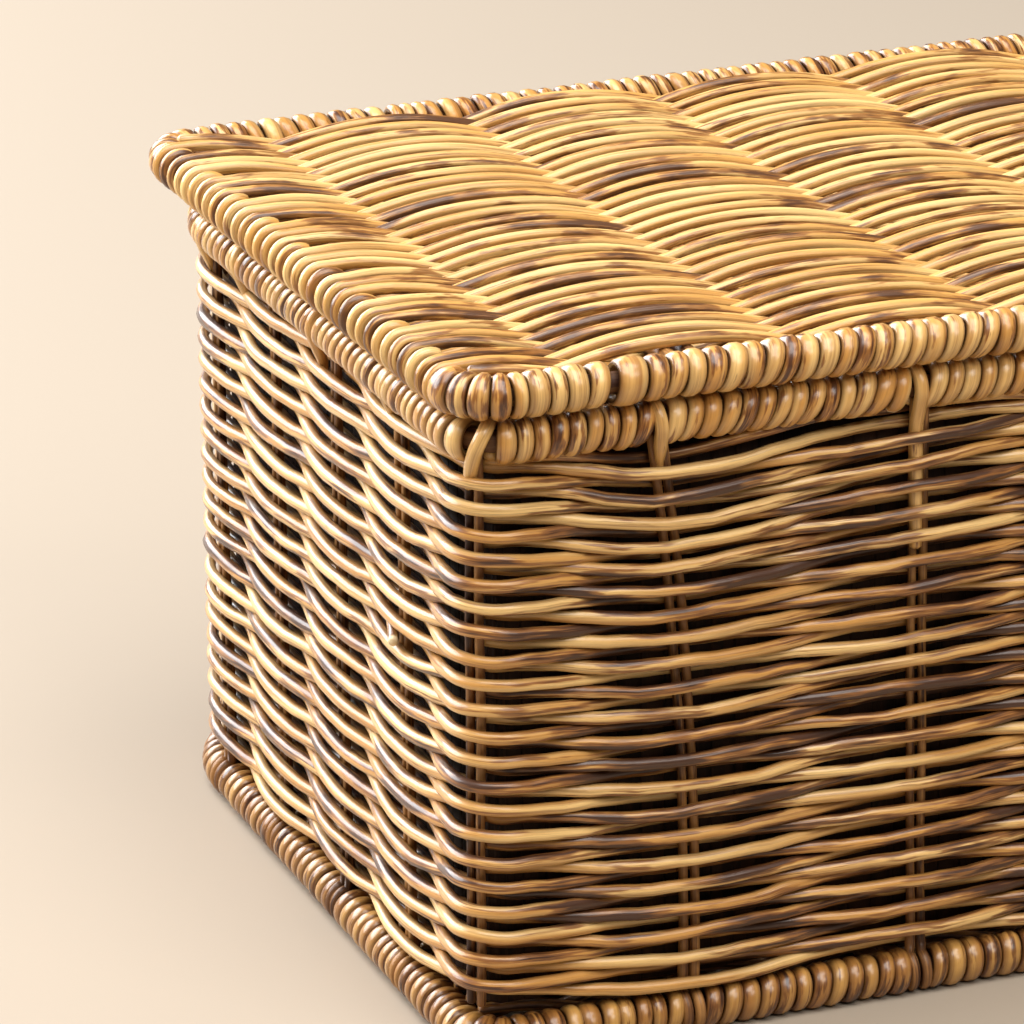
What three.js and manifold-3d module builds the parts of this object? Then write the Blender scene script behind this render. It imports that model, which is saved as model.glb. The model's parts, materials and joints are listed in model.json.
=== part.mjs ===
// A lidded box woven from round rattan cane. Folded stakes stand on a wrapped base hoop and carry a
// wrapped top hoop. Cane is woven round the stakes, and across rods in the bottom and in the lid. The
// lid is a wrapped hoop of its own, and turns on two cane loops that hold its back edge to the body.
//
// Millimetres, +Z up. The box stands on Z = 0, with its length along X and its front towards -Y.
import * as THREE from 'three';
import { mergeVertices } from 'three/addons/utils/BufferGeometryUtils.js';
import Module from 'manifold-3d';

const wasm = await Module();
wasm.setup();

// Body: the outside of its hoops in plan, and the height of the woven wall between them.
const BODY_LENGTH = 389;
const BODY_DEPTH = 269;
const WALL_HEIGHT = 161;
const FRONT_BEND = 11; // bend of the body's hoops at the front corners, on their middle line
const BACK_BEND = 44; // bend at the back corners, which are rounder

// Lid: its hoop stands out past the body all round and has sharper back corners.
const LID_OVERHANG = 2.5;
const LID_BEND = 13;
const LID_WEAVE_RISE = 1; // middle of the woven panel above the middle of its hoop
const BASE_WEAVE_RISE = 2;

// Hoops: a bent core rod inside turns of cane, drawn as soft ribs.
const HOOP_DIAMETER = 13;
const CORE_DIAMETER = 6.4;
const RIB_PITCH = 24;
const RIB_DEPTH = 0.9;
const CORE_SPLICE = 0.6; // gap where the two ends of a core, or of its wrapping, meet
const BASE_FLAT = 0.5; // depth to which the base wrapping is worn flat

// Weave: strands pass in front of and behind pairs of rods. It is drawn in bands of a few strands each.
const STRAND_DIAMETER = 3.4;
const STAKE_DIAMETER = 3.4; // upright rods in the wall
const CROSS_ROD_DIAMETER = 5.4; // rods in the bottom and in the lid
const ROD_SPLIT = 0.9; // gap between the two legs of a folded rod
const BAND_WIDTH = 17; // of the wall and the lid
const BASE_BAND_WIDTH = 48; // of the bottom, which is seen least
const FRONT_BAYS = 6;
const SIDE_BAYS = 4;
const BACK_BAYS = 8;

// Hinge: turns of cane round both back hoops, in a break in their wrapping.
const HINGE_SPREAD = 220; // between the two loops, middle to middle
const LOOP_WIDTH = 12;
const LOOP_INSET = 0.2; // how far a loop lies below the outside of the wrapping
const HINGE_PLAY = 0.25; // running clearance of a core in its loop
const LOOP_SIDE_GAP = 0.4;

const FIT = 0.3; // clearance between pieces that are bound together
const HOOP_SIDES = 8;
const ROD_SIDES = 6;
const BEND_STEP = Math.PI / 12; // facets of a hoop's bend
const FOLD_STEP = Math.PI / 4; // facets of a folded rod's bend
const LOOP_STEPS = 9; // facets of each end of a hinge loop
const NEAR = 0.1; // stations closer than this count as one
const STAKE_CLEAR = 6; // a bend closer than this to a stake makes the bands lie flat against it

const HOOP_RADIUS = HOOP_DIAMETER / 2;
const CORE_RADIUS = CORE_DIAMETER / 2;
const CORE_CORNER = CORE_RADIUS / Math.cos(Math.PI / HOOP_SIDES);
const BAND_THICKNESS = STRAND_DIAMETER - 2 * FIT;
const legOffset = (diameter) => (diameter + ROD_SPLIT) / 2;
const weaveThickness = (diameter) => 2 * STRAND_DIAMETER + diameter;
const bandThrow = (diameter) => (weaveThickness(diameter) - BAND_THICKNESS) / 2;
const bandSide = (number) => (number % 2 ? -1 : 1);

// Heights, from the floor up. The base hoop has a flat underside and the others stand on a corner.
const BASE_HALF_HEIGHT = HOOP_RADIUS * Math.cos(Math.PI / HOOP_SIDES);
const BASE_AXIS = BASE_HALF_HEIGHT - BASE_FLAT;
const WALL_BOTTOM = BASE_AXIS + BASE_HALF_HEIGHT + FIT;
const WALL_TOP = WALL_BOTTOM + WALL_HEIGHT;
const TOP_AXIS = WALL_TOP + FIT + HOOP_RADIUS;
const LID_AXIS = TOP_AXIS + HOOP_DIAMETER + FIT;

const X_AXIS = new THREE.Vector3(1, 0, 0);
const Y_AXIS = new THREE.Vector3(0, 1, 0);
const Z_AXIS = new THREE.Vector3(0, 0, 1);
const BACKWARDS = X_AXIS.clone().negate(); // the way the hoops run along the back

/** A path in one plane, made of straight runs and of bends to the left in steps of one angle. */
class FlatPath {
  constructor(point, heading, normal, bendStep) {
    this.normal = normal;
    this.bendStep = bendStep;
    this.spans = [];
    this.length = 0;
    this.tip = { point, heading };
  }

  go(length) {
    return this.add(length, 0);
  }

  bend(radius, angle) {
    return this.add(radius * angle, 1 / radius);
  }

  add(length, curvature) {
    const span = { start: this.length, length, curvature, ...this.tip };
    this.spans.push(span);
    this.length += length;
    this.tip = this.follow(span, length);
    return this;
  }

  follow({ point, heading, curvature }, distance) {
    const angle = curvature * distance;
    const ahead = curvature ? Math.sin(angle) / curvature : distance;
    const aside = curvature ? (1 - Math.cos(angle)) / curvature : 0;
    const left = new THREE.Vector3().crossVectors(this.normal, heading);
    return {
      point: point.clone().addScaledVector(heading, ahead).addScaledVector(left, aside),
      heading: heading.clone().applyAxisAngle(this.normal, angle),
    };
  }

  /** The point at a distance along the path, with the directions ahead and to the right. */
  at(distance) {
    const span = this.spans.findLast((each) => each.start <= distance) ?? this.spans[0];
    const { point, heading } = this.follow(span, distance - span.start);
    return { point, heading, right: new THREE.Vector3().crossVectors(heading, this.normal) };
  }

  /** Distances of the ends of a stretch and of every joint and bend step inside it. */
  stations(from, to) {
    const marks = this.spans.flatMap(({ start, length, curvature }) => {
      const steps = Math.max(1, Math.round((length * curvature) / this.bendStep));
      return Array.from({ length: steps }, (_, step) => start + (length * step) / steps);
    });
    return [from, ...marks.filter((mark) => mark > from + NEAR && mark < to - NEAR), to];
  }

  /** A ring of points square to the path. */
  ring(distance, radius, sides, turn) {
    const { point, right } = this.at(distance);
    return Array.from({ length: sides }, (_, side) => {
      const angle = turn + (side * 2 * Math.PI) / sides;
      return point.clone()
        .addScaledVector(right, radius * Math.cos(angle))
        .addScaledVector(this.normal, radius * Math.sin(angle));
    });
  }

  /** The path's outline in plan, moved outwards. */
  outline(offset) {
    return this.stations(0, this.length).slice(0, -1).map((distance) => {
      const { point, right } = this.at(distance);
      return new THREE.Vector2(point.x + right.x * offset, point.y + right.y * offset);
    });
  }
}

/** The middle line of a hoop, anticlockwise from the middle of the back. */
function hoopPath(length, depth, frontBend, backBend, height) {
  const quarter = Math.PI / 2;
  const side = depth - frontBend - backBend;
  return new FlatPath(new THREE.Vector3(0, depth / 2, height), BACKWARDS, Z_AXIS, BEND_STEP)
    .go(length / 2 - backBend).bend(backBend, quarter).go(side).bend(frontBend, quarter)
    .go(length - 2 * frontBend)
    .bend(frontBend, quarter).go(side).bend(backBend, quarter).go(length / 2 - backBend);
}

/** Joins rings of points into a closed skin, with flat ends unless the last ring meets the first. */
function loft(rings, isLoop) {
  const sides = rings[0].length;
  const points = rings.flat();
  const index = [];
  const joins = isLoop ? rings.length : rings.length - 1;
  for (let ring = 0; ring < joins; ring += 1) {
    const near = ring * sides;
    const far = ((ring + 1) % rings.length) * sides;
    for (let side = 0; side < sides; side += 1) {
      const next = (side + 1) % sides;
      index.push(near + side, far + side, far + next, near + side, far + next, near + next);
    }
  }
  if (!isLoop) {
    const last = points.length - sides;
    for (let side = 1; side < sides - 1; side += 1) {
      index.push(0, side, side + 1, last, last + side + 1, last + side);
    }
  }
  const geometry = new THREE.BufferGeometry().setFromPoints(points).setIndex(index);
  geometry.computeVertexNormals();
  return geometry;
}

/** A rod along a stretch of a path. */
function rod(path, from, to, radius, sides, turn) {
  return loft(path.stations(from, to).map((mark) => path.ring(mark, radius, sides, turn)), false);
}

/** A wrapping round a stretch of a hoop: ribs outside, and a bore for the core. */
function wrapping(path, from, to, turn) {
  const ribs = Math.round((to - from) / RIB_PITCH);
  const halfRib = (to - from) / (2 * ribs);
  const ribMarks = Array.from({ length: 2 * ribs + 1 }, (_, half) => from + half * halfRib);
  const bendMarks = path.stations(from, to).slice(1, -1)
    .filter((mark) => ribMarks.every((rib) => Math.abs(rib - mark) > halfRib / 4));
  const outside = [...ribMarks, ...bendMarks].sort((a, b) => a - b).map((mark) => {
    const swell = 1 - Math.abs((((mark - from) / halfRib) % 2) - 1);
    return path.ring(mark, HOOP_RADIUS - RIB_DEPTH * (1 - swell), HOOP_SIDES, turn);
  });
  const bore = path.stations(from, to)
    .map((mark) => path.ring(mark, CORE_CORNER + FIT, HOOP_SIDES, turn));
  return loft([...outside, ...bore.reverse()], true);
}

/** A rod folded in two: its legs start at a point and its fold lies at the far end. */
function foldedRod(start, heading, across, length, diameter) {
  const normal = new THREE.Vector3().crossVectors(across, heading);
  const fold = legOffset(diameter);
  const leg = length - fold - diameter / 2;
  const corner = start.clone().addScaledVector(across, fold);
  const path = new FlatPath(corner, heading, normal, FOLD_STEP)
    .go(leg).bend(fold, Math.PI).go(leg);
  return rod(path, 0, path.length, diameter / 2, ROD_SIDES, 0);
}

function solidOf(geometry) {
  const bare = geometry.clone();
  ['normal', 'uv'].forEach((name) => bare.deleteAttribute(name));
  const merged = mergeVertices(bare, 1e-4);
  return new wasm.Manifold(new wasm.Mesh({
    numProp: 3,
    vertProperties: new Float32Array(merged.attributes.position.array),
    triVerts: new Uint32Array(merged.index.array),
  }));
}

function geometryOf(solid) {
  const { vertProperties, triVerts } = solid.getMesh();
  const geometry = new THREE.BufferGeometry();
  geometry.setAttribute('position', new THREE.BufferAttribute(vertProperties, 3));
  geometry.setIndex(new THREE.BufferAttribute(triVerts, 1));
  geometry.computeVertexNormals();
  return geometry;
}

/**
 * Bands side by side along an axis (1 is Y, 2 is Z), joined where they cross. A band runs through pairs
 * of an outer and an inner point, and lineOf gives them for a band that starts on one side or the other.
 */
function weave(lineOf, axis, low, high, bandWidth, isLoop) {
  const count = Math.round((high - low) / bandWidth);
  const level = (edge) => low + ((high - low) * edge) / count;
  return wasm.Manifold.union(Array.from({ length: count }, (_, number) => {
    const [from, to] = [level(number), level(number + 1)];
    const rings = lineOf(bandSide(number)).map(([outer, inner]) =>
      [[outer, from], [outer, to], [inner, to], [inner, from]].map(([point, place]) =>
        point.clone().setComponent(axis, place)));
    return solidOf(loft(rings, isLoop));
  }));
}

/** A woven panel inside a hoop: bands along X that pass over and under its cross rods by turns. */
function panel(path, middle, rodPlaces, bandWidth) {
  const plan = path.outline(-HOOP_RADIUS - FIT);
  const { min, max } = new THREE.Box2().setFromPoints(plan);
  const lineOf = (side) => [min.x, ...rodPlaces, max.x].map((x, turn) => {
    const height = middle + side * bandSide(turn) * bandThrow(CROSS_ROD_DIAMETER);
    return [1, -1].map((face) => new THREE.Vector3(x, 0, height + (face * BAND_THICKNESS) / 2));
  });
  const deep = weaveThickness(CROSS_ROD_DIAMETER);
  const block = new THREE.ExtrudeGeometry(new THREE.Shape(plan), { depth: 2 * deep, bevelEnabled: false })
    .translate(0, 0, middle - deep);
  return weave(lineOf, 1, min.y, max.y, bandWidth, false).intersect(solidOf(block));
}

/** The woven wall: bands that pass in front of and behind the stakes by turns. */
function wall(path, stakePlaces) {
  const flat = legOffset(STAKE_DIAMETER) + STAKE_DIAMETER / 2;
  const pair = (point, right, offset) => [1, -1].map((face) =>
    point.clone().addScaledVector(right, offset + (face * BAND_THICKNESS) / 2));
  const lineOf = (side) => stakePlaces.flatMap((place, turn) => {
    const offset = side * bandSide(turn) * bandThrow(STAKE_DIAMETER);
    const next = stakePlaces[turn + 1] ?? path.length;
    const [before, after] = [-STAKE_CLEAR, STAKE_CLEAR].map((along) => path.at(place + along).heading);
    const isBent = before.angleTo(after) > path.bendStep / 4;
    const { point, heading, right } = path.at(place);
    const crest = (isBent ? [-flat, flat] : [0]).map((along) =>
      pair(point.clone().addScaledVector(heading, along), right, offset));
    const bends = path.stations(place + STAKE_CLEAR, next - STAKE_CLEAR).slice(1, -1).map((mark) => {
      const bend = path.at(mark);
      return pair(bend.point, bend.right, offset * (1 - (2 * (mark - place)) / (next - place)));
    });
    return [...crest, ...bends];
  });
  return weave(lineOf, 2, WALL_BOTTOM, WALL_TOP, BAND_WIDTH, true);
}

/** A loop of cane round the body's back core and the lid's. */
function hingeLoop(x, from, to) {
  const bore = CORE_CORNER + HINGE_PLAY;
  const reach = from.distanceTo(to);
  const stadium = (radius) => new THREE.Path()
    .absarc(reach, 0, radius, -Math.PI / 2, Math.PI / 2)
    .absarc(0, 0, radius, Math.PI / 2, (3 * Math.PI) / 2);
  const ends = (radius) => stadium(radius).getPoints(LOOP_STEPS).slice(0, -1);
  const shape = new THREE.Shape(ends(HOOP_RADIUS - LOOP_INSET));
  shape.holes = [new THREE.Path(ends(bore))];
  const geometry = new THREE.ExtrudeGeometry(shape, { depth: LOOP_WIDTH, bevelEnabled: false });
  const up = to.clone().sub(from).normalize();
  const frame = new THREE.Matrix4()
    .makeBasis(up, new THREE.Vector3().crossVectors(X_AXIS, up), X_AXIS)
    .setPosition(x - LOOP_WIDTH / 2, from.y, from.z);
  return geometry.applyMatrix4(frame);
}

const cane = (color, roughness) => new THREE.MeshStandardMaterial({ color, roughness, metalness: 0 });
const FINISH = {
  weave: cane(0xa9733a, 0.38),
  wrap: cane(0xc08a48, 0.34),
  stake: cane(0x8c5c2e, 0.42),
  core: cane(0x9a6a38, 0.55),
};

const box = new THREE.Group();
const add = (name, geometry, finish) => {
  const mesh = new THREE.Mesh(geometry, finish);
  mesh.name = name;
  box.add(mesh);
};

const bodyLength = BODY_LENGTH - HOOP_DIAMETER;
const bodyDepth = BODY_DEPTH - HOOP_DIAMETER;
const bodyHoop = (height) => hoopPath(bodyLength, bodyDepth, FRONT_BEND, BACK_BEND, height);
const baseHoop = bodyHoop(BASE_AXIS);
const topHoop = bodyHoop(TOP_AXIS);
const lidHoop = hoopPath(
  bodyLength + 2 * LID_OVERHANG, bodyDepth + 2 * LID_OVERHANG, LID_BEND, LID_BEND, LID_AXIS);

// Cross rods of the bottom and the lid stand in line with the front stakes.
const crossPlaces = Array.from({ length: FRONT_BAYS - 1 }, (_, bay) =>
  bodyLength * ((bay + 1) / FRONT_BAYS - 0.5));

function addCore(name, path, turn) {
  const end = CORE_SPLICE / 2;
  add(name, rod(path, end, path.length - end, CORE_CORNER, HOOP_SIDES, turn), FINISH.core);
}

function addCrossRods(name, path, middle) {
  const front = Math.min(...path.outline(-HOOP_RADIUS - 2 * FIT).map(({ y }) => y));
  crossPlaces.forEach((x, place) => {
    const start = new THREE.Vector3(x, -front, middle);
    const ahead = Y_AXIS.clone().negate();
    add(`${name}_${place + 1}`, foldedRod(start, ahead, X_AXIS, -2 * front, CROSS_ROD_DIAMETER),
      FINISH.stake);
  });
}

// Base hoop, worn flat underneath, and the woven bottom inside it.
const FLAT_DOWN = Math.PI / HOOP_SIDES;
addCore('base_hoop_core', baseHoop, FLAT_DOWN);
const standing = solidOf(
  wrapping(baseHoop, CORE_SPLICE / 2, baseHoop.length - CORE_SPLICE / 2, FLAT_DOWN));
const floorBlock = new THREE.BoxGeometry(2 * BODY_LENGTH, 2 * BODY_DEPTH, HOOP_DIAMETER)
  .translate(0, 0, -HOOP_RADIUS);
add('base_hoop_wrap', geometryOf(standing.subtract(solidOf(floorBlock))), FINISH.wrap);
const baseMiddle = BASE_AXIS + BASE_WEAVE_RISE;
add('base_weave', geometryOf(panel(baseHoop, baseMiddle, crossPlaces, BASE_BAND_WIDTH)), FINISH.weave);
addCrossRods('base_cross_rod', baseHoop, baseMiddle);

// Stakes, as distances along the hoop: one at each front corner, the rest in even bays.
const cornerArc = (FRONT_BEND * Math.PI) / 2;
const [leftArc, rightArc] = baseHoop.spans.filter(({ curvature }) => curvature === 1 / FRONT_BEND);
const frontStart = leftArc.start + leftArc.length - FRONT_BEND;
const sideRun = bodyDepth - BACK_BEND;
const backRun = 2 * (bodyLength / 2 - BACK_BEND) + Math.PI * BACK_BEND;
const bays = (count, place) => Array.from({ length: count }, (_, bay) => place(bay + 1));
const stakes = {
  corner_stake: [leftArc.start + cornerArc / 2, rightArc.start + cornerArc / 2],
  front_stake: bays(FRONT_BAYS - 1, (bay) => frontStart + (bodyLength * bay) / FRONT_BAYS),
  left_stake: bays(SIDE_BAYS, (bay) => leftArc.start + FRONT_BEND - (sideRun * bay) / SIDE_BAYS),
  right_stake: bays(SIDE_BAYS, (bay) =>
    rightArc.start + cornerArc - FRONT_BEND + (sideRun * bay) / SIDE_BAYS),
  back_stake: bays(BACK_BAYS - 1, (bay) =>
    (baseHoop.length + backRun * (bay / BACK_BAYS - 0.5)) % baseHoop.length),
};
Object.entries(stakes).forEach(([name, places]) => places.forEach((place, number) => {
  const { point, heading } = baseHoop.at(place);
  const top = point.clone().setZ(WALL_TOP);
  const down = Z_AXIS.clone().negate();
  add(`${name}_${number + 1}`, foldedRod(top, down, heading, WALL_HEIGHT, STAKE_DIAMETER),
    FINISH.stake);
}));

// The woven wall is one piece, because every strand goes all the way round.
const stakePlaces = Object.values(stakes).flat().sort((a, b) => a - b);
add('wall_weave', geometryOf(wall(baseHoop, stakePlaces)), FINISH.weave);

// Top hoop and lid hoop. Their wrapping stops at each hinge loop.
const loopEdge = LOOP_WIDTH / 2 + LOOP_SIDE_GAP;
function addBrokenWrap(name, path) {
  const breakPlace = HINGE_SPREAD / 2;
  const between = new FlatPath(
    new THREE.Vector3(breakPlace, path.spans[0].point.y, path.spans[0].point.z),
    BACKWARDS, Z_AXIS, BEND_STEP).go(HINGE_SPREAD);
  add(`${name}_wrap`,
    wrapping(path, breakPlace + loopEdge, path.length - breakPlace - loopEdge, 0), FINISH.wrap);
  add(`${name}_wrap_back`, wrapping(between, loopEdge, HINGE_SPREAD - loopEdge, 0), FINISH.wrap);
}
addCore('top_hoop_core', topHoop, 0);
addBrokenWrap('top_hoop', topHoop);
addCore('lid_hoop_core', lidHoop, 0);
addBrokenWrap('lid_hoop', lidHoop);
addCrossRods('lid_cross_rod', lidHoop, LID_AXIS + LID_WEAVE_RISE);

// Hinge loops. They lean back to the lid's hoop, so the lid's weave has a notch in front of each.
const loopFront = bodyDepth / 2 - (HOOP_RADIUS - LOOP_INSET) - FIT;
let lidWeave = panel(lidHoop, LID_AXIS + LID_WEAVE_RISE, crossPlaces, BAND_WIDTH);
['left', 'right'].forEach((side, number) => {
  const x = HINGE_SPREAD * (number - 0.5);
  add(`hinge_loop_${side}`, hingeLoop(x, topHoop.spans[0].point, lidHoop.spans[0].point), FINISH.wrap);
  const notch = new THREE.BoxGeometry(2 * loopEdge, HOOP_DIAMETER, 4 * HOOP_DIAMETER)
    .translate(x, loopFront + HOOP_RADIUS, LID_AXIS);
  lidWeave = lidWeave.subtract(solidOf(notch));
});
add('lid_weave', geometryOf(lidWeave), FINISH.weave);

export default box;
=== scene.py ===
"""Looks of a lidded box woven from round rattan cane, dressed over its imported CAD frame.

Every cane is modelled on its own: the courses of the wall, the strands of the lid and the bottom, the turns round the
three hoops, the stakes and the loops of the hinge. Sizes are in millimetres and become metres where a mesh is made.
"""
import json
import logging
import math
from dataclasses import dataclass, field
from enum import Enum
from functools import cached_property

import bpy
import numpy as np
from mathutils import Matrix, Vector

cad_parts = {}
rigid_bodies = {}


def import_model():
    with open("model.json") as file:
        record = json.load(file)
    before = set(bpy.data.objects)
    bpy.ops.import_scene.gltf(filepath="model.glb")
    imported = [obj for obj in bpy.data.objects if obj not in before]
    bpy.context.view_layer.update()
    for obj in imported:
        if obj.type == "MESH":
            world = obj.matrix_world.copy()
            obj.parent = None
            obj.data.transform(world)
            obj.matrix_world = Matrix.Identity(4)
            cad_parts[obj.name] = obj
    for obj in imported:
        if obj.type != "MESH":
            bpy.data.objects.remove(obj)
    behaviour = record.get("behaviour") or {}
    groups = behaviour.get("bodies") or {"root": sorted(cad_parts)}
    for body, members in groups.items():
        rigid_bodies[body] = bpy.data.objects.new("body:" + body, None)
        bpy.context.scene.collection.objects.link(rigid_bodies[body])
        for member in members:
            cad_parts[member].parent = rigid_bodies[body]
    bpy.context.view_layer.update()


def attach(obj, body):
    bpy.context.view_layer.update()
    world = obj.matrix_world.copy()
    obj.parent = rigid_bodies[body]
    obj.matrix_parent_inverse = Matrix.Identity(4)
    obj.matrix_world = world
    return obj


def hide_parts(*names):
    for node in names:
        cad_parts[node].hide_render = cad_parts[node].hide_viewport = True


LOG = logging.getLogger("woven_box")
MM = 0.001
ALONG = np.array([1.0, 0.0, 0.0])
ACROSS = np.array([0.0, 1.0, 0.0])
UP = np.array([0.0, 0.0, 1.0])
ENDS = (-1, 1)
TIGHT_BEND = 20.0
LID_END_MARGIN = 1.0
LID_GAP = (-151.2, -140.2)
STOUT_TURN = (-144.9, 9.2)

Colour = tuple[float, float, float]
Levels = tuple[int, int, int]
Stretch = tuple[float, float]
DARK: Levels = (54, 28, 16)
# The next two browns are painted shade, laid on the sides of each cane where it meets its neighbours.
PAINTED_EDGE_SHADE: Levels = (86, 47, 22)
PAINTED_DEEP_SHADE: Levels = (36, 17, 8)
PITH: Levels = (238, 214, 170)


class Slot(Enum):
    """Material slots of the record."""

    WEAVE = "weave"
    WRAP = "wrap"
    STAKE = "stake"
    CORE = "core"


class Body(Enum):
    """Bodies that the pieces ride on."""

    BOX = "box"
    LID = "lid"


class Value:
    """A number in a shader graph, on which Python's operators add Math nodes."""

    def __init__(self, graph: "Graph", socket: bpy.types.NodeSocket) -> None:
        """Wraps an output socket of a graph."""
        self.graph = graph
        self.socket = socket

    def __add__(self, other: "Value | float") -> "Value":
        """Sum."""
        return self.graph.math("ADD", self, other)

    def __radd__(self, other: float) -> "Value":
        """Sum with a plain number on the left."""
        return self.graph.math("ADD", other, self)

    def __sub__(self, other: "Value | float") -> "Value":
        """Difference."""
        return self.graph.math("SUBTRACT", self, other)

    def __rsub__(self, other: float) -> "Value":
        """Difference with a plain number on the left."""
        return self.graph.math("SUBTRACT", other, self)

    def __mul__(self, other: "Value | float") -> "Value":
        """Product."""
        return self.graph.math("MULTIPLY", self, other)

    def __rmul__(self, other: float) -> "Value":
        """Product with a plain number on the left."""
        return self.graph.math("MULTIPLY", other, self)


class Graph:
    """The node tree of one material."""

    def __init__(self, name: str) -> None:
        """Starts a material with an empty tree.

        Args:
            name: the material's name.
        """
        self.material = bpy.data.materials.new(name)
        self.material.use_nodes = True
        self.tree = self.material.node_tree
        self.tree.nodes.clear()

    def node(self, kind: str, settings: dict | None = None, inputs: dict | None = None) -> bpy.types.Node:
        """Adds a node.

        Args:
            kind: the node's type.
            settings: attributes to set first.
            inputs: values or links, by the socket's name or number.

        Returns:
            The new node.
        """
        made = self.tree.nodes.new(kind)
        for key, setting in (settings or {}).items():
            setattr(made, key, setting)
        for key, given in (inputs or {}).items():
            if isinstance(given, Value):
                given = given.socket
            if isinstance(given, bpy.types.NodeSocket):
                self.tree.links.new(given, made.inputs[key])
            else:
                made.inputs[key].default_value = given
        return made

    def math(self, operation: str, *values: "Value | float") -> Value:
        """Adds a Math node and returns its result."""
        made = self.node("ShaderNodeMath", {"operation": operation}, dict(enumerate(values)))
        return Value(self, made.outputs[0])

    def attribute(self, name: str) -> Value:
        """Reads a number that the mesh has at each point."""
        return Value(self, self.node("ShaderNodeAttribute", {"attribute_name": name}).outputs["Fac"])

    def part(self, vector: bpy.types.NodeSocket, axis: int) -> Value:
        """One coordinate of a vector."""
        return Value(self, self.node("ShaderNodeSeparateXYZ", {}, {0: vector}).outputs[axis])

    def noise(self, vector: bpy.types.NodeSocket, detail: float, rough: float, scale: float = 1.0) -> Value:
        """Adds a noise texture on a vector and returns its value."""
        made = self.node("ShaderNodeTexNoise", {}, {
            "Vector": vector, "Scale": scale, "Detail": detail, "Roughness": rough})
        return Value(self, made.outputs["Fac"])

    def step(self, value: Value, low: float, high: float) -> Value:
        """Smooth step of a value from 0 at low to 1 at high."""
        made = self.node("ShaderNodeMapRange", {"interpolation_type": "SMOOTHSTEP"},
                         {"Value": value, "From Min": low, "From Max": high})
        return Value(self, made.outputs["Result"])

    def mix(self, share: Value, first: "Colour | bpy.types.NodeSocket", second: Colour) -> bpy.types.NodeSocket:
        """Mixes two colours.

        Args:
            share: share of the second.
            first: colour or link.
            second: colour.

        Returns:
            The mixed colour's socket.
        """
        under = (*first, 1.0) if isinstance(first, tuple) else first
        made = self.node("ShaderNodeMix", {"data_type": "RGBA"}, {0: share, 6: under, 7: (*second, 1.0)})
        return made.outputs[2]

    def principled(self, inputs: dict) -> bpy.types.Material:
        """Ends the tree with a Principled shader.

        Args:
            inputs: the shader's values or links, by name.

        Returns:
            The material.
        """
        shader = self.node("ShaderNodeBsdfPrincipled", {}, inputs)
        self.node("ShaderNodeOutputMaterial", {}, {"Surface": shader.outputs[0]})
        return self.material


def srgb(levels: Levels) -> Colour:
    """Turns screen colour levels from 0 to 255 into linear ones."""
    return tuple(((level / 255 + 0.055) / 1.055) ** 2.4 if level > 10 else level / 255 / 12.92 for level in levels)


def smooth(share: np.ndarray) -> np.ndarray:
    """Eases shares from 0 to 1."""
    return share**2 * (3 - 2 * share)


def sums(values: np.ndarray | list[float]) -> np.ndarray:
    """Running sums, with 0 first."""
    return np.concatenate([[0], np.cumsum(values)])


def arc(centre: np.ndarray, outward: np.ndarray, radius: float, angle: np.ndarray) -> np.ndarray:
    """Points of an upright bend round a centre, at angles that count upwards from its outer side."""
    return centre + radius * (np.cos(angle)[:, None] * outward + np.sin(angle)[:, None] * UP)


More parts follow.
